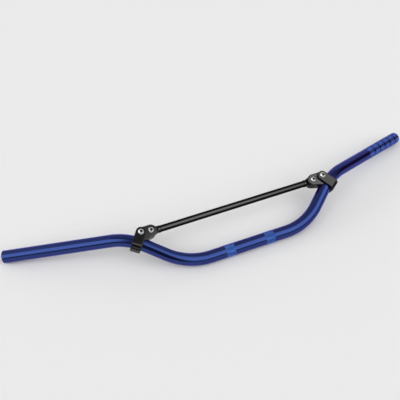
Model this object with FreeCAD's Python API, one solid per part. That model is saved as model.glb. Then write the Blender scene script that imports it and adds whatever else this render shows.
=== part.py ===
"""Motocross handlebar with a clamped-on crossbar, lying at rest on its centre and its two grip ends.

The bar is laid out upright first: X towards the rider's left hand, Y to the rear, Z up the plane of
the two risers, and the middle of the clamp zone at the origin. Each piece is then turned about X,
the axis that a handlebar is clamped on, until the rims of both grip ends are level with the
underside of the centre.
"""
import FreeCAD
import Part
import collections
import math
import os

Vector = FreeCAD.Vector

# Bent bar, in millimetres and degrees
tube_od = 22.2                # clamp and grip diameter, 7/8 inch
tube_wall = 4.0
overall_width = 818.0         # across the outermost points of the two ends
lower_corner_spacing = 231.6  # between the corners of the centre line at the two lower bends
riser_length = 113.5          # from the lower corner to the upper corner
rise_angle = 41.4             # riser above the clamp axis
sweep_angle = 19.1            # grip to the rear
upsweep_angle = 13.6          # grip upwards
lower_bend_radius = 111.0
upper_bend_radius = 108.0
end_chamfer = 1.0

# Cutting guides: shallow rings near the end of the clutch side grip
guide_count = 5
guide_from_end = 15.0
guide_spacing = 18.0
guide_width = 1.6
guide_depth = 0.3

# Crossbar: a tube with a turned fitting pressed into each end
rod_od = 12.0
rod_wall = 2.0
rod_chamfer = 0.6
collar_od = 13.0
collar_from_pivot = 13.0      # pivot bolt to the near face of the collar
collar_length = 5.5
collar_round = 0.9
spigot_length = 20.0
tongue_thickness = 7.6
tongue_step = 0.5             # the tongue's end stays this far inside the boss
tongue_root_height = 9.0      # at the middle of the collar

# Clamp: a forged knuckle held on the bar by a U-shaped strap
strap_past_bend = 13.4        # along the bar, from the start of the upper bend to the strap
strap_width = 18.0
strap_thickness = 4.2
strap_corner_round = 9.0      # outer corners of the U
strap_round = 0.8             # edges
strap_bolt_rise = 16.3        # strap bolt above the bar's axis
pivot_rise = 25.9             # pivot bolt above the bar's axis
pivot_inset = 15.8            # pivot bolt inboard of the strap bolt, along the bar
boss_radius = 10.5
saddle_inset = 12.0           # the saddle's inboard edge from the middle of the strap
saddle_lip = 1.2              # thickness of the saddle's edge beside the bar
knuckle_round = 2.0           # outer edges
slot_play = 0.1               # on each side of the tongue
slot_relief = 0.5             # the slot's round end beyond the boss radius
spot_face_od = 13.8
spot_face_depth = 0.5

# M6 button-head screws, washers and self-locking nuts
bolt_d = 6.0
bolt_play = 0.2               # between a screw and its hole, on the radius
bolt_step = 5.0               # screws come in lengths this far apart
bolt_end_chamfer = 0.7
least_thread_past_nut = 1.0
head_od = 10.5
head_height = 3.3
head_rim = 0.6
head_flat_od = 5.6
head_bulge = 0.45
socket_across_flats = 4.0
socket_depth = 2.0
washer_od = 12.0
washer_thickness = 1.6
nut_across_flats = 10.0
nut_height = 6.0
nut_hex_height = 4.4
nut_collar_od = 8.8
nut_collar_round = 0.9
nut_chamfer = 0.8             # height lost at the corners of the hexagon

tube_radius = tube_od / 2
bore_radius = tube_radius - tube_wall
rod_bore_radius = rod_od / 2 - rod_wall
bolt_hole_radius = bolt_d / 2 + bolt_play
strap_outer = tube_radius + strap_thickness
past_end = 5.0                # how far a cutting shape runs beyond what it cuts
close_to = 1e-4               # points this near to a surface lie on it
settling_passes = 8           # of the search for the resting turn; four already settle it

ORIGIN = Vector(0, 0, 0)
X_WAY = Vector(1, 0, 0)
Y_WAY = Vector(0, 1, 0)

Bend = collections.namedtuple("Bend", "start way_in end way_out centre axis turn radius")


def unit(vector):
    return Vector(vector).normalize()


def bend(before, corner, after, radius):
    """The arc that rounds a corner of the centre line."""
    way_in = unit(corner - before)
    way_out = unit(after - corner)
    turn = way_in.getAngle(way_out)
    tangent = radius * math.tan(turn / 2)
    start = corner - way_in * tangent
    end = corner + way_out * tangent
    axis = unit(way_in.cross(way_out))
    centre = start + axis.cross(way_in) * radius
    return Bend(start, way_in, end, way_out, centre, axis, turn, radius)


def along(arc, distance):
    """The point and the direction on an arc, this far from its start."""
    turn = distance / arc.radius
    inwards = arc.axis.cross(arc.way_in)
    point = arc.centre + (arc.way_in * math.sin(turn) - inwards * math.cos(turn)) * arc.radius
    way = arc.way_in * math.cos(turn) + inwards * math.sin(turn)
    return point, way


# Centre line of the rider's left half; the other half is its mirror image
rise = math.radians(rise_angle)
sweep = math.radians(sweep_angle)
upsweep = math.radians(upsweep_angle)
lower_corner = Vector(lower_corner_spacing / 2, 0, 0)
upper_corner = lower_corner + Vector(math.cos(rise), 0, math.sin(rise)) * riser_length
grip_way = Vector(
    math.cos(sweep) * math.cos(upsweep),
    math.sin(sweep) * math.cos(upsweep),
    math.sin(upsweep),
)
rim_overhang = (tube_radius - end_chamfer) * math.sqrt(1 - grip_way.x ** 2)
grip_length = (overall_width / 2 - rim_overhang - upper_corner.x) / grip_way.x
bar_end = upper_corner + grip_way * grip_length
lower_bend = bend(ORIGIN, lower_corner, upper_corner, lower_bend_radius)
upper_bend = bend(lower_corner, upper_corner, bar_end, upper_bend_radius)

# The clamp's own axes: along the bar in the riser plane, to the rear, and away from the bar
strap_centre, strap_way = along(upper_bend, strap_past_bend)
strap_tilt = math.atan2(strap_way.z, strap_way.x)


def clamp_point(along_bar, rise_from_axis):
    """A point of the riser plane, given from the middle of the strap."""
    across = Vector(math.cos(strap_tilt), 0, math.sin(strap_tilt))
    away = Vector(-math.sin(strap_tilt), 0, math.cos(strap_tilt))
    return strap_centre + across * along_bar + away * rise_from_axis


strap_bolt = clamp_point(0, strap_bolt_rise)
pivot = clamp_point(-pivot_inset, pivot_rise)


def mirrored(shape):
    return shape.mirror(ORIGIN, X_WAY)


def one_solid(shape):
    """The single solid that a boolean result holds."""
    solids = shape.removeSplitter().Solids
    if len(solids) != 1:
        raise ValueError(f"expected one solid, found {len(solids)}")
    return solids[0]


def straight(start, end, radius):
    length = (end - start).Length
    return Part.makeCylinder(radius, length, start, end - start)


def curved(arc, radius):
    disc = Part.Face(Part.Wire(Part.makeCircle(radius, arc.start, arc.way_in)))
    return disc.revolve(arc.centre, arc.axis, math.degrees(arc.turn))


def bar_side(radius, overrun=0.0):
    """Riser, bends and grip of the left half, with a round section."""
    return [
        curved(lower_bend, radius),
        straight(lower_bend.end, upper_bend.start, radius),
        curved(upper_bend, radius),
        straight(upper_bend.end, bar_end + grip_way * overrun, radius),
    ]


def joined(shapes):
    return shapes[0].fuse(shapes[1:]).removeSplitter()


def round_bar(radius, overrun=0.0):
    side = bar_side(radius, overrun)
    centre = straight(Vector(-lower_bend.start.x, 0, 0), lower_bend.start, radius)
    return joined([centre] + side + [mirrored(piece) for piece in side])


def guide(centre):
    """The ring that a cutting guide takes out of the grip, half of its width to each side."""
    base = centre - grip_way * (guide_width / 2)
    outside = Part.makeCylinder(tube_radius + past_end, guide_width, base, grip_way)
    return outside.cut(Part.makeCylinder(tube_radius - guide_depth, guide_width, base, grip_way))


def end_trim():
    """What the chamfer takes off the outside of a bar end."""
    base = bar_end - grip_way * end_chamfer
    block = Part.makeCylinder(tube_radius + past_end, end_chamfer + past_end, base, grip_way)
    cone = Part.makeCone(tube_radius, tube_radius - end_chamfer, end_chamfer, base, grip_way)
    return block.cut(cone)


def handlebar_tube():
    tube = round_bar(tube_radius).cut(round_bar(bore_radius, past_end))
    trim = end_trim()
    tube = tube.cut([trim, mirrored(trim)])
    for index in range(guide_count):
        centre = bar_end - grip_way * (guide_from_end + index * guide_spacing)
        tube = tube.cut(guide(centre))
    return one_solid(tube)


def hull_face(circles, y):
    """The face stretched round circles (x, z, radius), listed anticlockwise seen from the front."""
    count = len(circles)
    ways = []
    for index, (x, z, radius) in enumerate(circles):
        next_x, next_z, next_radius = circles[(index + 1) % count]
        gap = math.hypot(next_x - x, next_z - z)
        step_x = (next_x - x) / gap
        step_z = (next_z - z) / gap
        lean = (radius - next_radius) / gap
        out = math.sqrt(1 - lean ** 2)
        ways.append(math.atan2(step_z * lean - step_x * out, step_x * lean + step_z * out))
    edges = []
    for index, (x, z, radius) in enumerate(circles):
        first = ways[index - 1]
        last = ways[index]
        if last < first:
            last += 2 * math.pi

        def rim(angle, x=x, z=z, radius=radius):
            return Vector(x + radius * math.cos(angle), y, z + radius * math.sin(angle))

        if radius > 0:
            edges.append(Part.Arc(rim(first), rim((first + last) / 2), rim(last)).toShape())
        next_x, next_z, next_radius = circles[(index + 1) % count]
        touch = Vector(
            next_x + next_radius * math.cos(last), y, next_z + next_radius * math.sin(last)
        )
        edges.append(Part.makeLine(rim(last), touch))
    return Part.Face(Part.Wire(Part.__sortEdges__(edges)))


def hull_plate(circles, half_width):
    """A plate of that outline, square to Y and centred on it."""
    return hull_face(circles, -half_width).extrude(Vector(0, 2 * half_width, 0))


def placed_at_clamp(shape):
    """Move a shape from the clamp's own axes to the bar."""
    placed = shape.copy()
    placed.rotate(ORIGIN, Y_WAY, -math.degrees(strap_tilt))
    placed.translate(strap_centre)
    return placed


def edges_like(shape, test):
    """The edges of a shape whose ends and middle all pass a test."""
    chosen = []
    for edge in shape.Edges:
        middle = (edge.FirstParameter + edge.LastParameter) / 2
        points = [vertex.Point for vertex in edge.Vertexes] + [edge.valueAt(middle)]
        if all(test(point) for point in points):
            chosen.append(edge)
    return chosen


def cross_hole(at, radius):
    """A round hole through a clamp, along Y."""
    reach = strap_outer + past_end
    return Part.makeCylinder(radius, 2 * reach, at - Y_WAY * reach, Y_WAY)


def spot_face(side):
    """The shallow round seat for the pivot bolt's head, or for its washer."""
    depth = spot_face_depth + past_end
    seat = pivot + Y_WAY * side * (tube_radius - spot_face_depth)
    return Part.makeCylinder(spot_face_od / 2, depth, seat, Y_WAY * side)


def knuckle():
    lip_rise = math.sqrt(tube_radius ** 2 - (tube_radius - saddle_lip) ** 2)
    half_strap = strap_width / 2
    outline = [
        (half_strap, lip_rise, 0),
        (0, strap_bolt_rise, half_strap),
        (-pivot_inset, pivot_rise, boss_radius),
        (-saddle_inset, lip_rise, 0),
    ]
    body = hull_plate(outline, tube_radius)
    rims = edges_like(body, lambda point: abs(abs(point.y) - tube_radius) < close_to)
    body = placed_at_clamp(body.makeFillet(knuckle_round, rims))
    slot_radius = boss_radius + slot_relief
    mouth_x = pivot.x - boss_radius - past_end
    slot = hull_plate(
        [
            (pivot.x, pivot.z, slot_radius),
            (mouth_x, pivot.z + slot_radius, 0),
            (mouth_x, pivot.z - slot_radius, 0),
        ],
        tongue_thickness / 2 + slot_play,
    )
    slot.translate(Vector(0, strap_centre.y, 0))
    body = body.cut([slot] + bar_side(tube_radius))
    body = body.cut([cross_hole(strap_bolt, bolt_hole_radius), cross_hole(pivot, bolt_hole_radius)])
    return one_solid(body.cut([spot_face(-1), spot_face(1)]))


def u_block(half_width, length, top, corner_round):
    """A block along X with rounded lower corners, reaching as far below the axis as beside it."""
    base = Vector(-length / 2, -half_width, -half_width)
    box = Part.makeBox(length, 2 * half_width, top + half_width, base)
    lower = edges_like(box, lambda point: abs(point.z + half_width) < close_to)
    long_ones = [edge for edge in lower if abs(edge.Length - length) < close_to]
    return box.makeFillet(corner_round, long_ones)


def on_strap_rim(point):
    """Whether a point lies on the outer rim of the strap, in the clamp's own axes."""
    core = strap_outer - strap_corner_round
    beside = max(abs(point.y) - core, 0)
    below = max(-point.z - core, 0)
    on_skin = abs(math.hypot(beside, below) - strap_corner_round) < close_to
    at_side = abs(abs(point.x) - strap_width / 2) < close_to
    return on_skin and (at_side or point.z > strap_bolt_rise - close_to)


def strap():
    half_strap = strap_width / 2
    top = strap_bolt_rise + half_strap
    blank = u_block(strap_outer, strap_width, top, strap_corner_round)
    outline = [
        (half_strap, -strap_outer, 0),
        (0, strap_bolt_rise, half_strap),
        (-half_strap, -strap_outer, 0),
    ]
    blank = one_solid(blank.common(hull_plate(outline, strap_outer + past_end)))
    blank = blank.makeFillet(strap_round, edges_like(blank, on_strap_rim))
    inside_length = strap_width + 2 * past_end
    inside_start = Vector(-inside_length / 2, -tube_radius, 0)
    between_legs = Part.makeBox(inside_length, tube_od, top + past_end, inside_start)
    seat = Part.makeCylinder(tube_radius, inside_length, Vector(-inside_length / 2, 0, 0), X_WAY)
    blank = blank.cut([between_legs, seat])
    blank = placed_at_clamp(blank)
    return one_solid(blank.cut(bar_side(tube_radius) + [cross_hole(strap_bolt, bolt_hole_radius)]))


def turned(points, bulge_at=None, bulge=0.0):
    """A solid turned about Y from (radius, y) points; one side may bulge outwards."""
    edges = []
    for index, (radius, y) in enumerate(points):
        next_radius, next_y = points[(index + 1) % len(points)]
        start = Vector(radius, y, 0)
        end = Vector(next_radius, next_y, 0)
        if index == bulge_at:
            out = unit(Vector(end.y - start.y, start.x - end.x, 0))
            edges.append(Part.Arc(start, (start + end) * 0.5 + out * bulge, end).toShape())
        else:
            edges.append(Part.makeLine(start, end))
    return Part.makeSolid(Part.Face(Part.Wire(edges)).revolve(ORIGIN, Y_WAY, 360))


def hexagon(across_flats, start_y, height):
    corner = across_flats / math.sqrt(3)
    points = []
    for degrees in range(0, 361, 60):
        angle = math.radians(degrees)
        points.append(Vector(corner * math.cos(angle), start_y, corner * math.sin(angle)))
    return Part.Face(Part.makePolygon(points)).extrude(Vector(0, height, 0))


def screw(length):
    """A button-head screw: its head's seat is at y = 0 and its thread runs to the rear."""
    radius = bolt_d / 2
    body = turned(
        [
            (0, -head_height),
            (head_flat_od / 2, -head_height),
            (head_od / 2, -head_rim),
            (head_od / 2, 0),
            (radius, 0),
            (radius, length - bolt_end_chamfer),
            (radius - bolt_end_chamfer, length),
            (0, length),
        ],
        bulge_at=1,
        bulge=head_bulge,
    )
    return one_solid(body.cut(hexagon(socket_across_flats, -head_height, socket_depth)))


def washer():
    inner = bolt_hole_radius
    outer = washer_od / 2
    return turned([(inner, 0), (outer, 0), (outer, washer_thickness), (inner, washer_thickness)])


def nut():
    """A self-locking nut, its bearing face at y = 0 and its round collar to the rear."""
    corner = nut_across_flats / math.sqrt(3)
    flat = nut_across_flats / 2
    bore = bolt_d / 2
    blank = turned(
        [
            (bore, 0),
            (flat, 0),
            (corner, nut_chamfer),
            (corner, nut_hex_height - nut_chamfer),
            (flat, nut_hex_height),
            (bore, nut_hex_height),
        ]
    )
    body = blank.common(hexagon(nut_across_flats, 0, nut_hex_height))
    collar = nut_collar_od / 2
    crown = turned(
        [
            (bore, nut_hex_height),
            (collar, nut_hex_height),
            (collar, nut_height - nut_collar_round),
            (collar - nut_collar_round, nut_height),
            (bore, nut_height),
        ],
        bulge_at=2,
        bulge=nut_collar_round * (1 - math.sqrt(0.5)),
    )
    return one_solid(body.fuse(crown))


def screw_length(stack):
    """The shortest stock length that passes through a stack, its washer and its nut."""
    least = stack + washer_thickness + nut_height + least_thread_past_nut
    return bolt_step * math.ceil(least / bolt_step)


def fastened(name, at, half_stack):
    """Screw, washer and nut through a stack of that half thickness."""
    pieces = {
        f"{name}_bolt": (screw(screw_length(2 * half_stack)), -half_stack),
        f"{name}_washer": (washer(), half_stack),
        f"{name}_nut": (nut(), half_stack + washer_thickness),
    }
    placed = {}
    for piece, (shape, y) in pieces.items():
        shape.translate(at + Y_WAY * y)
        placed[piece] = shape
    return placed


def rod_end_x():
    return pivot.x - collar_from_pivot - collar_length


def crossbar_rod():
    end = rod_end_x()
    start = Vector(-end, strap_centre.y, pivot.z)
    outer = Part.makeCylinder(rod_od / 2, 2 * end, start, X_WAY)
    rims = [edge for edge in outer.Edges if edge.Closed]
    outer = outer.makeChamfer(rod_chamfer, rims)
    inner = Part.makeCylinder(rod_bore_radius, 2 * end, start, X_WAY)
    return one_solid(outer.cut(inner))


def crossbar_end():
    """The fitting of the left end: spigot in the rod, collar, and tongue in the knuckle's slot."""
    axis_start = Vector(rod_end_x(), strap_centre.y, pivot.z)
    collar = Part.makeCylinder(collar_od / 2, collar_length, axis_start, X_WAY)
    rims = [edge for edge in collar.Edges if edge.Closed]
    collar = collar.makeFillet(collar_round, rims)
    spigot_start = axis_start - X_WAY * spigot_length
    spigot = Part.makeCylinder(
        rod_bore_radius, spigot_length + collar_length / 2, spigot_start, X_WAY
    )
    root_x = rod_end_x() + collar_length / 2
    outline = [
        (pivot.x, pivot.z, boss_radius - tongue_step),
        (root_x, pivot.z + tongue_root_height / 2, 0),
        (root_x, pivot.z - tongue_root_height / 2, 0),
    ]
    tongue = hull_plate(outline, tongue_thickness / 2)
    tongue.translate(Vector(0, strap_centre.y, 0))
    body = collar.fuse([spigot, tongue])
    return one_solid(body.cut(cross_hole(pivot, bolt_hole_radius)))


def resting_turn():
    """The turn about X, in radians, that brings the grip rims level with the centre's underside."""
    reach = math.hypot(bar_end.y, bar_end.z)
    level = -math.atan2(bar_end.z, bar_end.y)
    turn = level
    for _ in range(settling_passes):
        dip = grip_way.y * math.sin(turn) + grip_way.z * math.cos(turn)
        height = tube_radius * (math.sqrt(1 - dip ** 2) - 1) + end_chamfer * dip
        turn = level + math.asin(height / reach)
    return turn


def write(name, shape):
    laid = shape.copy()
    laid.rotate(ORIGIN, X_WAY, math.degrees(resting_turn()))
    laid.exportStep(f"parts/{name}.step")


def main():
    os.makedirs("parts", exist_ok=True)
    write("handlebar_tube", handlebar_tube())
    write("crossbar_rod", crossbar_rod())
    side_pieces = {
        "crossbar_end": crossbar_end(),
        "knuckle": knuckle(),
        "strap": strap(),
    }
    side_pieces.update(fastened("strap", strap_bolt, strap_outer))
    side_pieces.update(fastened("pivot", pivot, tube_radius - spot_face_depth))
    for name, shape in side_pieces.items():
        write(f"{name}_left", shape)
        write(f"{name}_right", mirrored(shape))


main()
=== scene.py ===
"""The dressed motocross handlebar, on a pale floor in soft studio light.

Sizes are in millimetres and degrees in the bar's own upright frame: X towards the rider's left
hand, Y to the rear, Z up the plane of the risers. AT_REST turns and scales them into the frame of
the model. Along the bar, distances run from its middle, and are negative on the rider's right.
"""
import bpy
import collections
import math
from mathutils import Matrix, Vector


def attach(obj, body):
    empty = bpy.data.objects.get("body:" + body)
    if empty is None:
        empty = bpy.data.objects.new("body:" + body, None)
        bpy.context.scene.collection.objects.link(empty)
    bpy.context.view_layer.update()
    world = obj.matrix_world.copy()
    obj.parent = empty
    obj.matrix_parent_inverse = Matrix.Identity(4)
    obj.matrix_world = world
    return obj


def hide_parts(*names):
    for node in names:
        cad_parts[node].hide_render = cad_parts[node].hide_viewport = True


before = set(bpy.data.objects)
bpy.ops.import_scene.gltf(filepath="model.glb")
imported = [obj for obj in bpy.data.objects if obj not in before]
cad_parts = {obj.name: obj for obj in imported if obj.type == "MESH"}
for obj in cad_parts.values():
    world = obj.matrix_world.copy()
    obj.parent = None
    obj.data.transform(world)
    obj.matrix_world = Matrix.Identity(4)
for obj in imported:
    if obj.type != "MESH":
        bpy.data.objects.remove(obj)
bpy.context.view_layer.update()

MM = 0.001                    # metres

# The bent bar
tube_radius = 11.1
bore_radius = 7.1
overall_width = 818.0
lower_corner_spacing = 231.6
riser_length = 113.5
rise_angle = 41.4
sweep_angle = 19.1
upsweep_angle = 13.6
lower_bend_radius = 111.0
upper_bend_radius = 108.0
end_chamfer = 1.0
bore_chamfer = 0.5

# Cutting guides and knurling
guide_count = 5
guide_from_end = 15.0
guide_spacing = 18.0
guide_width = 1.6
guide_depth = 0.3
guide_edge = 0.12             # chamfer of a guide's corners
knurl_count = 56              # diamonds round the bar
clamp_knurl_offset = 38.5     # middle of a knurled band from the middle of the bar
clamp_knurl_width = 18.0
clamp_knurl_height = 0.2
clamp_knurl_flat = 0.3        # share of a diamond's width left flat at its top
grip_knurl_length = 105.0     # from the end of the bar
grip_knurl_height = 0.1
grip_knurl_flat = 0.7
grip_knurl_margin = 1.0       # plain strip beside a guide and at the end of the bar

# Clamps and crossbar
strap_past_bend = 13.4        # along the bar, from the start of the upper bend to the strap
strap_thickness = 4.2
strap_bolt_rise = 16.3        # above the bar's axis
pivot_rise = 25.9             # above the bar's axis
pivot_inset = 15.8            # inboard of the strap bolt
spot_face_depth = 0.5
collar_from_pivot = 13.0
collar_length = 5.5
rod_radius = 6.0
rod_bore_radius = 4.0
rod_chamfer = 0.6

# M6 hardware
bolt_radius = 3.0
bolt_play = 0.2               # between a screw and its washer
thread_pitch = 1.0
thread_depth = 0.5
thread_shown = 3.6            # threaded length, which starts inside the nut
thread_run_out = 0.7          # rounded-off length at the screw's end
thread_end_drop = 0.55        # how much thinner the screw is at its very end
bolt_step = 5.0               # between stock lengths
least_thread_past_nut = 1.0
head_radius = 5.25
head_height = 3.3
head_rim = 0.6
head_edge = 0.15              # chamfer under the head and at its rim
head_dome_inset = 0.03        # the dome starts this far inside the rim
head_flat_radius = 2.8
head_bulge = 0.45
socket_across_flats = 4.0
socket_depth = 2.0
socket_chamfer = 0.5
socket_mouth_bow = 0.1        # how far the mouth's edge bows out past each flat
drill_cone = 0.5              # depth of the drilled cone below the socket's floor
washer_radius = 6.0
washer_thickness = 1.6
washer_edge = 0.2
nut_across_flats = 10.0
nut_height = 6.0
nut_hex_height = 4.4
nut_face_inset = 0.1
nut_collar_radius = 4.4
nut_fillet_width = 0.25       # at the foot of the collar
nut_fillet_height = 0.2
nut_chamfer = 0.8
nut_lip = [                   # round the collar's top, as (inwards from the collar, below the top)
    (0.0, 0.9), (0.15, 0.4), (0.5, 0.1), (0.9, 0.0), (1.05, 0.15),
]
insert_play = 0.05            # between a screw and the nut's insert
insert_depth = 0.35           # below the nut's top

# How finely the meshes are divided, and how long the search goes on
tube_sides = 96
straight_step = 10.0
bend_step = 1.6
bore_step = 5.0
station_gap = 1.0             # plain stations keep this far from an edge
turned_sides = 72
nut_sides = 96
thread_sides = 48
thread_steps = 8              # stations in a turn of the thread
dome_steps = 10
nut_chamfer_steps = 6
axis_radius = 0.01            # of the first ring round the axis of a solid piece
settling_passes = 8           # of the search for the resting turn

MIRROR = Matrix.Scale(-1, 4, Vector((1, 0, 0)))
UPRIGHT = Matrix.Identity(4)
SIDES = {"left": UPRIGHT, "right": MIRROR}


# Centre line

Straight = collections.namedtuple("Straight", "way length")
Bend = collections.namedtuple("Bend", "centre axis radius length")


def bend_at(before, corner, after, radius):
    """The start and end of the arc that rounds a corner, and the arc."""
    way_in = (corner - before).normalized()
    way_out = (after - corner).normalized()
    turn = way_in.angle(way_out)
    tangent = radius * math.tan(turn / 2)
    start = corner - way_in * tangent
    end = corner + way_out * tangent
    axis = way_in.cross(way_out).normalized()
    centre = start + axis.cross(way_in) * radius
    return start, end, Bend(centre, axis, radius, radius * turn)


rise = math.radians(rise_angle)
sweep = math.radians(sweep_angle)
upsweep = math.radians(upsweep_angle)
middle = Vector((0, 0, 0))
lower_corner = Vector((lower_corner_spacing / 2, 0, 0))
upper_corner = lower_corner + Vector((math.cos(rise), 0, math.sin(rise))) * riser_length
grip_way = Vector((
    math.cos(sweep) * math.cos(upsweep),
    math.sin(sweep) * math.cos(upsweep),
    math.sin(upsweep),
))
rim_overhang = (tube_radius - end_chamfer) * math.sqrt(1 - grip_way.x ** 2)
grip_span = overall_width / 2 - rim_overhang - upper_corner.x
bar_end = upper_corner + grip_way * (grip_span / grip_way.x)
lower_start, lower_end, lower_bend = bend_at(middle, lower_corner, upper_corner, lower_bend_radius)
upper_start, upper_end, upper_bend = bend_at(lower_corner, upper_corner, bar_end, upper_bend_radius)
riser = upper_start - lower_end
runs = [
    Straight(Vector((1, 0, 0)), lower_start.length),
    lower_bend,
    Straight(riser.normalized(), riser.length),
    upper_bend,
    Straight(grip_way, (bar_end - upper_end).length),
]
half_length = sum(run.length for run in runs)


def turn_about(centre, angle, axis):
    """A rotation about an axis through a point."""
    to_centre = Matrix.Translation(centre)
    return to_centre @ Matrix.Rotation(angle, 4, axis) @ to_centre.inverted()


def place_at(distance):
    """The matrix that carries a section from the middle of the bar to this distance along it."""
    place = Matrix.Identity(4)
    for run in runs:
        part = min(max(distance, 0), run.length)
        if isinstance(run, Straight):
            place = Matrix.Translation(run.way * part) @ place
        else:
            place = turn_about(run.centre, part / run.radius, run.axis) @ place
        distance -= run.length
    return place


def section_place(signed_distance):
    """As place_at, with the rider's right half as the mirror image of the left."""
    if signed_distance < 0:
        return MIRROR @ place_at(-signed_distance)
    return place_at(signed_distance)


def resting_turn():
    """The turn about X, in radians, that brings the grip rims level with the centre's underside."""
    reach = math.hypot(bar_end.y, bar_end.z)
    level = -math.atan2(bar_end.z, bar_end.y)
    turn = level
    for _ in range(settling_passes):
        dip = grip_way.y * math.sin(turn) + grip_way.z * math.cos(turn)
        height = tube_radius * (math.sqrt(1 - dip ** 2) - 1) + end_chamfer * dip
        turn = level + math.asin(height / reach)
    return turn


AT_REST = Matrix.Scale(MM, 4) @ Matrix.Rotation(resting_turn(), 4, "X")

# Where the clamps sit
strap_turn = strap_past_bend / upper_bend_radius
strap_place = turn_about(upper_bend.centre, strap_turn, upper_bend.axis)
strap_centre = strap_place @ upper_start
strap_way = strap_place.to_3x3() @ riser.normalized()
strap_tilt = math.atan2(strap_way.z, strap_way.x)
across = Vector((math.cos(strap_tilt), 0, math.sin(strap_tilt)))
away = Vector((-math.sin(strap_tilt), 0, math.cos(strap_tilt)))
strap_bolt = strap_centre + away * strap_bolt_rise
pivot = strap_centre - across * pivot_inset + away * pivot_rise
rod_end = pivot.x - collar_from_pivot - collar_length


# Mesh building

def add_object(name, data):
    """A new object in the scene."""
    made = bpy.data.objects.new(name, data)
    bpy.context.scene.collection.objects.link(made)
    return made


def build(name, points, faces, place, material, node=None, uv=None, crease=30, inset=None):
    """A piece from points in millimetres, carried by place and then into the frame of the model.

    crease is the angle in degrees past which an edge stays sharp. inset is (first face, face after
    the last, material) for a stretch of faces of another material.
    """
    mesh = bpy.data.meshes.new(name)
    matrix = AT_REST @ place
    mesh.from_pydata([matrix @ Vector(point) for point in points], [], faces)
    if uv is not None:
        layer = mesh.uv_layers.new(name="UVMap")
        for loop, corner in enumerate(uv):
            layer.data[loop].uv = corner
    if matrix.determinant() < 0:
        mesh.flip_normals()
    mesh.materials.append(material)
    if inset:
        first, after_last, inset_material = inset
        mesh.materials.append(inset_material)
        for face in mesh.polygons[first:after_last]:
            face.material_index = 1
    mesh.shade_smooth()
    mesh.set_sharp_from_angle(angle=math.radians(crease))
    piece = add_object(name, mesh)
    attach(piece, "root")
    if node:
        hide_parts(node)


def append_mesh(points, faces, more):
    """Add another mesh's points and faces to these lists."""
    more_points, more_faces = more
    base = len(points)
    points.extend(more_points)
    faces.extend(tuple(base + index for index in face) for face in more_faces)


def ring_faces(rings, count, closed=False):
    """Quads between successive rings of points."""
    faces = []
    last = rings if closed else rings - 1
    for ring in range(last):
        following = (ring + 1) % rings
        for index in range(count):
            after = (index + 1) % count
            faces.append((
                ring * count + index, ring * count + after,
                following * count + after, following * count + index,
            ))
    return faces


# Materials

class Nodes:
    """A short way to build a node tree."""

    def __init__(self, tree):
        self.tree = tree
        self.tree.nodes.clear()

    def add(self, kind, inputs=None, **settings):
        """A new node; each of its inputs is a value or another node's output."""
        made = self.tree.nodes.new(kind)
        for key, value in settings.items():
            setattr(made, key, value)
        for key, value in (inputs or {}).items():
            if isinstance(value, bpy.types.NodeSocket):
                self.tree.links.new(value, made.inputs[key])
            else:
                made.inputs[key].default_value = value
        return made

    def math(self, operation, *values):
        inputs = dict(enumerate(values))
        return self.add("ShaderNodeMath", operation=operation, inputs=inputs).outputs[0]


def new_material(name):
    """An empty material and the tree to build it in."""
    material = bpy.data.materials.new(name)
    material.use_nodes = True
    return material, Nodes(material.node_tree)


def blend_colour(nodes, factor, first, second):
    """A mix of two colours; the colour sockets of a Mix node are inputs 6 and 7 and output 2."""
    mix = nodes.add("ShaderNodeMix", data_type="RGBA", inputs={
        "Factor": factor, 6: (*first, 1), 7: (*second, 1),
    })
    return mix.outputs[2]


def remap(nodes, value, span, to=(0.0, 1.0)):
    """A value carried from one span to another, and kept inside it."""
    made = nodes.add("ShaderNodeMapRange", inputs={
        "Value": value, "From Min": span[0], "From Max": span[1], "To Min": to[0], "To Max": to[1],
    })
    return made.outputs["Result"]


def noise(nodes, vector, scale, detail, roughness=0.5):
    """Cloudy noise; on a piece's own coordinates, scale counts its blotches to a metre."""
    made = nodes.add("ShaderNodeTexNoise", inputs={
        "Vector": vector, "Scale": scale, "Detail": detail, "Roughness": roughness,
    })
    return made.outputs["Fac"]


def weighted(nodes, first, share, second):
    """Two values added in the given share of the first."""
    return nodes.math(
        "ADD", nodes.math("MULTIPLY", first, share), nodes.math("MULTIPLY", second, 1 - share)
    )


def bump(nodes, height, strength, distance):
    """A bumped normal; distance is in metres."""
    return nodes.add("ShaderNodeBump", inputs={
        "Height": height, "Strength": strength, "Distance": distance,
    }).outputs[0]


def finish_material(nodes, **inputs):
    """Close a material's tree with one shader."""
    shader = nodes.add("ShaderNodeBsdfPrincipled", inputs=inputs)
    nodes.add("ShaderNodeOutputMaterial", inputs={"Surface": shader.outputs[0]})


lines_round = 1.9             # polishing lines to a millimetre round the bar
lines_along = 0.012           # and to a millimetre along it
edge_tint = (0.62, 0.68, 1.0, 1.0)      # of the blue's reflection where it turns away
sheen_tint = (0.35, 0.03, 1.0, 1.0)     # violet
edge_gloss = 0.05             # of the black finishes where they turn away


def polishing_lines(nodes):
    """Fine lines drawn out along the bar, on its map in millimetres."""
    bar_map = nodes.add("ShaderNodeTexCoord").outputs["UV"]
    drawn_out = nodes.add("ShaderNodeMapping", inputs={
        "Vector": bar_map, "Scale": (lines_round, lines_along, 1.0),
    }).outputs[0]
    return noise(nodes, drawn_out, scale=1.0, detail=5.0, roughness=0.65)


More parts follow.
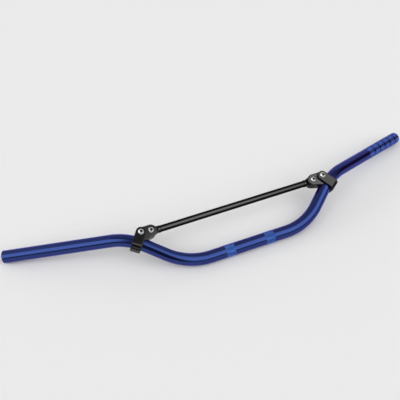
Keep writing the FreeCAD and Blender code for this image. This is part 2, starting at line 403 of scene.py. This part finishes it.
def anodised_blue(name, main_colour, deeper_colour, roughness, drawn=False):
    """Dyed, polished aluminium; drawn gives it the bar's polishing lines. The knurls' copies take
    lighter colours, painted brightness for the light their knurling scatters.
    """
    material, nodes = new_material(name)
    place = nodes.add("ShaderNodeTexCoord").outputs["Object"]
    cloud = noise(nodes, place, scale=22.0, detail=4.0)
    grain = noise(nodes, place, scale=2600.0, detail=2.0)
    lines = polishing_lines(nodes) if drawn else noise(nodes, place, scale=900.0, detail=2.0)
    tone = weighted(nodes, cloud, 0.55, lines)
    line_rough = remap(nodes, lines, (0.25, 0.75), roughness)
    finish_material(nodes, **{
        "Base Color": blend_colour(nodes, remap(nodes, tone, (0.3, 0.7)), deeper_colour, main_colour),
        "Metallic": 1.0,
        "Roughness": nodes.math("ADD", line_rough, nodes.math("MULTIPLY", cloud, 0.03)),
        "Normal": bump(nodes, weighted(nodes, lines, 0.7, grain), strength=0.06, distance=0.00004),
        "Specular Tint": edge_tint,
        "Sheen Weight": 0.25, "Sheen Roughness": 0.5, "Sheen Tint": sheen_tint,
    })
    return material


def black_finish(name, grey, roughness, grain_scale, grain_bump, gloss, gloss_fades):
    """Black anodised aluminium with a fine grain.

    Its gloss fades between two shares of turning away from the viewer.
    """
    material, nodes = new_material(name)
    place = nodes.add("ShaderNodeTexCoord").outputs["Object"]
    cloud = noise(nodes, place, scale=60.0, detail=5.0, roughness=0.6)
    grain = noise(nodes, place, scale=grain_scale, detail=4.0, roughness=0.6)
    tone = remap(nodes, cloud, (0.35, 0.7))
    facing = nodes.add("ShaderNodeLayerWeight", inputs={"Blend": 0.5}).outputs["Facing"]
    finish_material(nodes, **{
        "Base Color": blend_colour(nodes, tone, (grey, grey, grey), (2 * grey, 2 * grey, 2 * grey)),
        "Roughness": remap(nodes, nodes.math("ADD", cloud, grain), (0.6, 1.4), roughness),
        "Normal": bump(nodes, grain, strength=grain_bump, distance=0.0001),
        "IOR": 1.6,
        "Specular IOR Level": remap(nodes, facing, gloss_fades, (gloss, edge_gloss)),
    })
    return material


def plated_steel(name, dull, bright, roughness):
    """Zinc-plated steel with faint mottling."""
    material, nodes = new_material(name)
    place = nodes.add("ShaderNodeTexCoord").outputs["Object"]
    mottle = noise(nodes, place, scale=700.0, detail=4.0, roughness=0.6)
    grain = noise(nodes, place, scale=3500.0, detail=2.0)
    finish_material(nodes, **{
        "Base Color": blend_colour(nodes, remap(nodes, mottle, (0.3, 0.7)), dull, bright),
        "Metallic": 1.0,
        "Roughness": remap(nodes, mottle, (0.3, 0.7), roughness),
        "Normal": bump(nodes, grain, strength=0.15, distance=0.00005),
    })
    return material


bar_blue = anodised_blue(
    "bar_blue", (0.0322, 0.0588, 0.207), (0.0286, 0.052, 0.184), (0.13, 0.17), drawn=True
)
# The knurls take lighter copies of the bar's blue: painted brightness for the light that their
# knurling scatters.
clamp_knurl_lit_blue = anodised_blue(
    "clamp_knurl_lit_blue", (0.08, 0.195, 0.56), (0.066, 0.17, 0.5), (0.22, 0.32)
)
grip_knurl_lit_blue = anodised_blue(
    "grip_knurl_lit_blue", (0.06, 0.12, 0.4), (0.05, 0.105, 0.35), (0.15, 0.22)
)
rod_black = black_finish("rod_black", 0.002, (0.1, 0.14), 1500.0, 0.02, 0.7, (0.065, 0.16))
strap_black = black_finish("strap_black", 0.003, (0.09, 0.13), 900.0, 0.04, 0.44, (0.15, 0.3))
knuckle_black = black_finish("knuckle_black", 0.004, (0.12, 0.17), 700.0, 0.06, 0.62, (0.15, 0.3))
screw_steel = plated_steel("screw_steel", (0.7, 0.7, 0.7), (0.85, 0.85, 0.84), (0.26, 0.38))
# Near-black steel for the inside of the screws' hexagon sockets: painted shade in the recess.
socket_shade_steel = plated_steel("socket_shade_steel", (0.02, 0.02, 0.02), (0.04, 0.04, 0.04), (0.35, 0.5))
nut_steel = plated_steel("nut_steel", (0.5, 0.5, 0.49), (0.66, 0.66, 0.64), (0.25, 0.4))


# The bar

def even_stations(step_on_bend):
    """Distances from the middle along the left half, closer together on the bends."""
    distances = [0.0]
    for run in runs:
        step = straight_step if isinstance(run, Straight) else step_on_bend
        count = max(1, math.ceil(run.length / step))
        start = distances[-1]
        distances += [start + run.length * (index + 1) / count for index in range(count)]
    return distances


def guide_profile():
    """The cutting guides as (distance, radius), from the inmost outwards."""
    profile = []
    for index in reversed(range(guide_count)):
        centre = half_length - guide_from_end - index * guide_spacing
        half = guide_width / 2
        floor = tube_radius - guide_depth
        profile += [
            (centre - half - guide_edge, tube_radius), (centre - half, tube_radius - guide_edge),
            (centre - half, floor + guide_edge), (centre - half + guide_edge, floor),
            (centre + half - guide_edge, floor), (centre + half, floor + guide_edge),
            (centre + half, tube_radius - guide_edge), (centre + half + guide_edge, tube_radius),
        ]
    return profile


def plain_stations(step_on_bend, radius, end):
    """Stations of one radius as (distance, radius), from the middle to a little before an end."""
    distances = even_stations(step_on_bend)
    return [(distance, radius) for distance in distances if distance < end - station_gap]


def mirrored(profile):
    """The same stations on the rider's right, in the opposite order."""
    return [(-distance, radius) for distance, radius in reversed(profile)]


def tube_profile():
    """The whole skin as a closed run of (signed distance, radius).

    It goes from the rider's right end along the outside to the left end, and back up the bore.
    """
    outer_end = half_length - end_chamfer
    bore_end = half_length - bore_chamfer
    rim = [(outer_end, tube_radius), (half_length, tube_radius - end_chamfer)]
    guides = guide_profile()
    left = plain_stations(bend_step, tube_radius, guides[0][0]) + guides + rim
    right = plain_stations(bend_step, tube_radius, outer_end) + rim
    bore = plain_stations(bore_step, bore_radius, bore_end)
    bore += [(bore_end, bore_radius), (half_length, bore_radius + bore_chamfer)]
    inwards = bore[::-1]
    return mirrored(right[1:]) + left + inwards + mirrored(inwards[:-1])


def bar_point(along, angle, radius):
    """A point on a round bar along X."""
    return Vector((along, radius * math.cos(angle), radius * math.sin(angle)))


def bar_map(profile):
    """The corners of the bar's faces on a map in millimetres, round the bar and along it."""
    girth = 2 * math.pi * tube_radius
    distances = [station[0] for station in profile]
    corners = []
    for here, there in zip(distances, distances[1:] + distances[:1]):
        for side in range(tube_sides):
            near = girth * side / tube_sides
            far = girth * (side + 1) / tube_sides
            corners += [(near, here), (far, here), (far, there), (near, there)]
    return corners


def handlebar_tube():
    profile = tube_profile()
    points = []
    for distance, radius in profile:
        place = section_place(distance)
        for side in range(tube_sides):
            points.append(place @ bar_point(0, 2 * math.pi * side / tube_sides, radius))
    faces = ring_faces(len(profile), tube_sides, closed=True)
    build("bar_tube", points, faces, UPRIGHT, bar_blue, "handlebar_tube",
          uv=bar_map(profile))


def diamond(around, along, height, flat):
    """The eight corners of one diamond as (pitches round, pitches along, radius), foot then top."""
    corners = []
    for reach, radius in ((0.5, tube_radius), (0.5 * flat, tube_radius + height)):
        corners += [
            (around, along - reach, radius), (around + reach, along, radius),
            (around, along + reach, radius), (around - reach, along, radius),
        ]
    return corners


def diamonds(start, end, height, flat):
    """Points and faces of diamond knurling between two distances, on a round bar along X."""
    pitch = 2 * math.pi * tube_radius / knurl_count
    rows = int((end - start) / pitch)
    pitch_along = (end - start) / rows
    corners = []
    for half_row in range(1, 2 * rows):
        offset = 0.5 if half_row % 2 == 0 else 0.0
        for index in range(knurl_count):
            corners += diamond(index + offset, half_row / 2, height, flat)
    points = []
    for around, along, radius in corners:
        angle = 2 * math.pi * around / knurl_count
        points.append(bar_point(start + along * pitch_along, angle, radius))
    faces = []
    for foot in range(0, len(points), 8):
        top = foot + 4
        for corner in range(4):
            after = (corner + 1) % 4
            faces.append((foot + corner, foot + after, top + after, top + corner))
        faces.append((top, top + 1, top + 2, top + 3))
    return points, faces


def knurl(name, spans, height, flat, place, material):
    points = []
    faces = []
    for start, end in spans:
        append_mesh(points, faces, diamonds(start, end, height, flat))
    build(name, points, faces, place, material)


def clamp_knurls():
    near = clamp_knurl_offset - clamp_knurl_width / 2
    far = clamp_knurl_offset + clamp_knurl_width / 2
    for side, place in SIDES.items():
        knurl(f"clamp_knurl_{side}", [(near, far)], clamp_knurl_height, clamp_knurl_flat, place,
              clamp_knurl_lit_blue)


def grip_knurl():
    """Knurling between the cutting guides, on a bar laid from its end towards the middle."""
    clear = guide_width / 2 + guide_edge + grip_knurl_margin
    edges = [end_chamfer + grip_knurl_margin]
    for index in range(guide_count):
        centre = guide_from_end + index * guide_spacing
        edges += [centre - clear, centre + clear]
    edges.append(grip_knurl_length)
    spans = [(-far, -near) for near, far in zip(edges[::2], edges[1::2])]
    knurl("grip_knurl", spans, grip_knurl_height, grip_knurl_flat, place_at(half_length),
          grip_knurl_lit_blue)


# Turned pieces, laid along Y

def axle_point(y, angle, radius):
    """A point on a round piece along Y."""
    return Vector((radius * math.cos(angle), y, radius * math.sin(angle)))


def hexagon(angle, radius):
    """A hexagon's reach at an angle from one of its corners; radius reaches its flats."""
    side = math.radians(60)
    return radius / math.cos((angle % side) - side / 2)


def socket_mouth(angle, radius):
    """A hexagon whose flats bow out."""
    return max(hexagon(angle, radius), radius + socket_mouth_bow)


def nut_outline(angle, radius):
    """A circle cut off by the nut's flats."""
    return min(radius, hexagon(angle, nut_across_flats / 2))


def turned(profile, sides):
    """Points and faces of a profile turned about Y, out of (radius, y) or (radius, y, outline).

    outline(angle, radius) gives the reach of a station that isn't round.
    """
    points = []
    for radius, y, *outline in profile:
        for side in range(sides):
            angle = 2 * math.pi * side / sides
            reach = outline[0](angle, radius) if outline else radius
            points.append(axle_point(y, angle, reach))
    return points, ring_faces(len(profile), sides)


def arc_profile(start, end, bulge, steps):
    """(radius, y) points on a shallow arc that bulges to the left of its way."""
    chord = Vector(end) - Vector(start)
    out = Vector((-chord.y, chord.x)).normalized()
    points = []
    for step in range(steps + 1):
        share = step / steps
        points.append(Vector(start) + chord * share + out * bulge * 4 * share * (1 - share))
    return [tuple(point) for point in points]


def screw(name, node, length, place):
    """A button-head screw with a hexagon socket; its thread shows at the rear end."""
    thread_start = length - thread_shown
    body = [
        (axis_radius, thread_start), (bolt_radius, thread_start), (bolt_radius, 0.0),
        (head_radius - head_edge, 0.0), (head_radius, -head_edge),
        (head_radius, -head_rim + head_edge),
    ]
    dome_start = (head_radius - head_dome_inset, -head_rim)
    dome_end = (head_flat_radius, -head_height)
    body += arc_profile(dome_start, dome_end, head_bulge, dome_steps)
    flat = socket_across_flats / 2
    floor = -head_height + socket_depth
    socket = [
        (flat + socket_chamfer, -head_height, socket_mouth),
        (flat, -head_height + socket_chamfer, hexagon), (flat, floor, hexagon),
        (flat / 2, floor + drill_cone / 2), (axis_radius, floor + drill_cone),
    ]
    points, faces = turned(body + socket, turned_sides)
    # The socket's faces take the near-black steel, painted shade in the recess.
    socket_faces = (len(body) * turned_sides, len(faces), socket_shade_steel)
    append_mesh(points, faces, thread(thread_start, length))
    build(name, points, faces, place, screw_steel, node, crease=25,
          inset=socket_faces)


def thread(start, end):
    """A screw thread along Y with a rounded-off end."""
    step = thread_pitch / thread_steps
    stations = int((end - start) / step) + 1
    points = []
    for station in range(stations):
        y = start + station * step
        drop = thread_end_drop * max(0, 1 - (end - y) / thread_run_out)
        for side in range(thread_sides):
            turn = side / thread_sides
            valley = 1 - abs(2 * ((y / thread_pitch + turn) % 1.0) - 1)
            radius = bolt_radius - thread_depth * valley - drop
            points.append(axle_point(y, 2 * math.pi * turn, radius))
    faces = ring_faces(stations, thread_sides)
    faces.append(range(len(points) - thread_sides, len(points)))
    return points, [tuple(reversed(face)) for face in faces]


def washer(name, node, place):
    inner = bolt_radius + bolt_play
    outer = washer_radius
    thick = washer_thickness
    edge = washer_edge
    profile = [
        (inner + edge, 0.0), (inner, edge), (inner, thick - edge), (inner + edge, thick),
        (outer - edge, thick), (outer, thick - edge), (outer, edge), (outer - edge, 0.0),
        (inner + edge, 0.0),
    ]
    points, faces = turned(profile, turned_sides)
    build(name, points, faces, place, nut_steel, node)


def nut(name, node, place):
    """A self-locking nut: chamfered hexagon, round collar and the lip over its insert."""
    flat = nut_across_flats / 2
    corner = nut_across_flats / math.sqrt(3)
    shares = [step / nut_chamfer_steps for step in range(nut_chamfer_steps + 1)]
    chamfer = [(flat + (corner - flat) * share, nut_chamfer * share) for share in shares]
    profile = [(bolt_radius, 0.0), (flat - nut_face_inset, 0.0)]
    profile += [(radius, y, nut_outline) for radius, y in chamfer]
    profile += [(radius, nut_hex_height - y, nut_outline) for radius, y in reversed(chamfer)]
    profile += [
        (nut_collar_radius + nut_fillet_width, nut_hex_height),
        (nut_collar_radius, nut_hex_height + nut_fillet_height),
    ]
    profile += [(nut_collar_radius - inwards, nut_height - below) for inwards, below in nut_lip]
    profile += [(bolt_radius + insert_play, nut_height - insert_depth), (bolt_radius, 0.0)]
    points, faces = turned(profile[::-1], nut_sides)
    build(name, points, faces, place, nut_steel, node, crease=25)


def screw_length(stack):
    """The shortest stock length that passes through a stack, its washer and its nut."""
    least = stack + washer_thickness + nut_height + least_thread_past_nut
    return bolt_step * math.ceil(least / bolt_step)


def fastener(name, side, at, half_stack):
    """A screw through one of a clamp's holes, with its washer and nut on the far side."""
    place = SIDES[side] @ Matrix.Translation(at)
    head_seat = place @ Matrix.Translation((0, -half_stack, 0))
    washer_seat = place @ Matrix.Translation((0, half_stack, 0))
    nut_seat = place @ Matrix.Translation((0, half_stack + washer_thickness, 0))
    screw(f"{name}_screw_{side}", f"{name}_bolt_{side}", screw_length(2 * half_stack), head_seat)
    washer(f"{name}_plain_washer_{side}", f"{name}_washer_{side}", washer_seat)
    nut(f"{name}_lock_nut_{side}", f"{name}_nut_{side}", nut_seat)


def crossbar_rod():
    profile = [
        (rod_bore_radius, -rod_end), (rod_bore_radius, rod_end),
        (rod_radius - rod_chamfer, rod_end), (rod_radius, rod_end - rod_chamfer),
        (rod_radius, -rod_end + rod_chamfer), (rod_radius - rod_chamfer, -rod_end),
        (rod_bore_radius, -rod_end),
    ]
    points, faces = turned(profile, turned_sides)
    along_x = Matrix.Rotation(math.radians(-90), 4, "Z")
    place = Matrix.Translation((0, strap_centre.y, pivot.z)) @ along_x
    build("crossbar_tube", points, faces, place, rod_black, "crossbar_rod")


def dress_cad_nodes():
    """Finishes for the pieces that keep their own solids."""
    finishes = {"knuckle": knuckle_black, "strap": strap_black, "crossbar_end": rod_black}
    for side in SIDES:
        for node, material in finishes.items():
            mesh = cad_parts[f"{node}_{side}"].data
            mesh.materials.clear()
            mesh.materials.append(material)


# Studio

camera_place = Vector((-0.4322, -0.7860, 0.9593))       # metres, in the frame of the model
camera_forward = Vector((0.2861, 0.6647, -0.6901))
camera_right = Vector((0.9163, -0.4005, -0.0059))
camera_lens = 66.6
camera_sensor = 36.0
camera_reach = 200.0          # metres
floor_reach = 120.0           # metres to each edge
floor_level = -(tube_radius + clamp_knurl_height) * MM
world_level = 0.2
panels = [
    # azimuth, elevation, half width, half height and edge in degrees, and strength; a later panel
    # lies over the earlier ones, and behind, left and right are as the camera sees the bar
    (77.0, 20.0, 60.0, 26.0, 9.0, 0.64),        # wide and low behind the bar
    (60.0, 72.0, 60.0, 16.0, 8.0, 0.45),        # high behind it
    (133.0, 58.0, 18.0, 12.0, 6.0, 0.8),        # high on the left
    (152.0, 16.0, 28.0, 16.0, 5.0, 2.5),        # low on the left
    (-8.0, 67.0, 20.0, 8.0, 4.0, 1.05),         # high on the right
    (-159.0, 43.0, 32.0, 23.0, 3.0, 1.9),       # left of the camera
    (-57.0, 46.0, 38.0, 26.0, 3.0, 1.9),        # right of the camera
    (-55.0, 74.5, 15.0, 5.3, 1.2, 0.0),         # dark gap over the right one
    (-112.0, 22.0, 14.0, 25.0, 3.0, 0.05),      # dark below the camera
    (-119.0, 57.0, 7.0, 14.0, 4.0, 0.3),        # dim strip above the camera
    (-9.0, 15.0, 12.0, 17.0, 4.0, 0.0),         # dark and low on the right
]


def add_camera():
    forward = camera_forward.normalized()
    right = (camera_right - forward * camera_right.dot(forward)).normalized()
    up = right.cross(forward)
    turn = Matrix((right, up, -forward)).transposed().to_4x4()
    data = bpy.data.cameras.new("camera")
    data.lens = camera_lens
    data.sensor_width = camera_sensor
    data.clip_end = camera_reach
    camera = add_object("camera", data)
    camera.matrix_world = Matrix.Translation(camera_place) @ turn
    bpy.context.scene.camera = camera


def add_floor():
    corners = [(-1, -1), (1, -1), (1, 1), (-1, 1)]
    points = [(x * floor_reach, y * floor_reach, floor_level) for x, y in corners]
    mesh = bpy.data.meshes.new("floor")
    mesh.from_pydata(points, [], [(0, 1, 2, 3)])
    material, nodes = new_material("floor_pale")
    place = nodes.add("ShaderNodeTexCoord").outputs["Object"]
    paper = noise(nodes, place, scale=260.0, detail=4.0)
    colour = blend_colour(nodes, paper, (0.9, 0.9, 0.9), (0.94, 0.94, 0.94))
    finish_material(nodes, **{"Base Color": colour, "Roughness": 0.9, "Specular IOR Level": 0.1})
    mesh.materials.append(material)
    floor = add_object("floor", mesh)


def soft_panel(nodes, direction, azimuth, elevation, half_width, half_height, edge):
    """How far a direction lies inside a soft-edged window, from 0 outside to 1 inside."""
    turned_back = nodes.add("ShaderNodeVectorRotate", rotation_type="Z_AXIS", inputs={
        "Vector": direction, "Angle": math.radians(-azimuth),
    }).outputs[0]
    split = nodes.add("ShaderNodeSeparateXYZ", inputs={"Vector": turned_back})
    aside = nodes.math("ARCTAN2", split.outputs["Y"], split.outputs["X"])
    height = nodes.math("ARCSINE", split.outputs["Z"])
    above = nodes.math("SUBTRACT", height, math.radians(elevation))
    inside = None
    for offset, half in ((aside, half_width), (above, half_height)):
        share = nodes.add("ShaderNodeMapRange", interpolation_type="SMOOTHSTEP", inputs={
            "Value": nodes.math("ABSOLUTE", offset),
            "From Min": math.radians(half - edge), "From Max": math.radians(half + edge),
            "To Min": 1.0, "To Max": 0.0,
        }).outputs["Result"]
        inside = share if inside is None else nodes.math("MULTIPLY", inside, share)
    return inside


def add_world():
    world = bpy.data.worlds.new("studio")
    bpy.context.scene.world = world
    world.use_nodes = True
    nodes = Nodes(world.node_tree)
    direction = nodes.add("ShaderNodeTexCoord").outputs["Generated"]
    level = world_level
    for *window, strength in panels:
        inside = soft_panel(nodes, direction, *window)
        level = remap(nodes, inside, (0.0, 1.0), (level, strength))
    background = nodes.add("ShaderNodeBackground", inputs={
        "Color": (1, 1, 1, 1), "Strength": level,
    })
    nodes.add("ShaderNodeOutputWorld", inputs={"Surface": background.outputs[0]})


def main():
    add_camera()
    add_floor()
    add_world()
    handlebar_tube()
    clamp_knurls()
    grip_knurl()
    crossbar_rod()
    for side in SIDES:
        fastener("strap", side, strap_bolt, tube_radius + strap_thickness)
        fastener("pivot", side, pivot, tube_radius - spot_face_depth)
    dress_cad_nodes()
    bpy.context.scene.view_settings.view_transform = "Standard"


main()
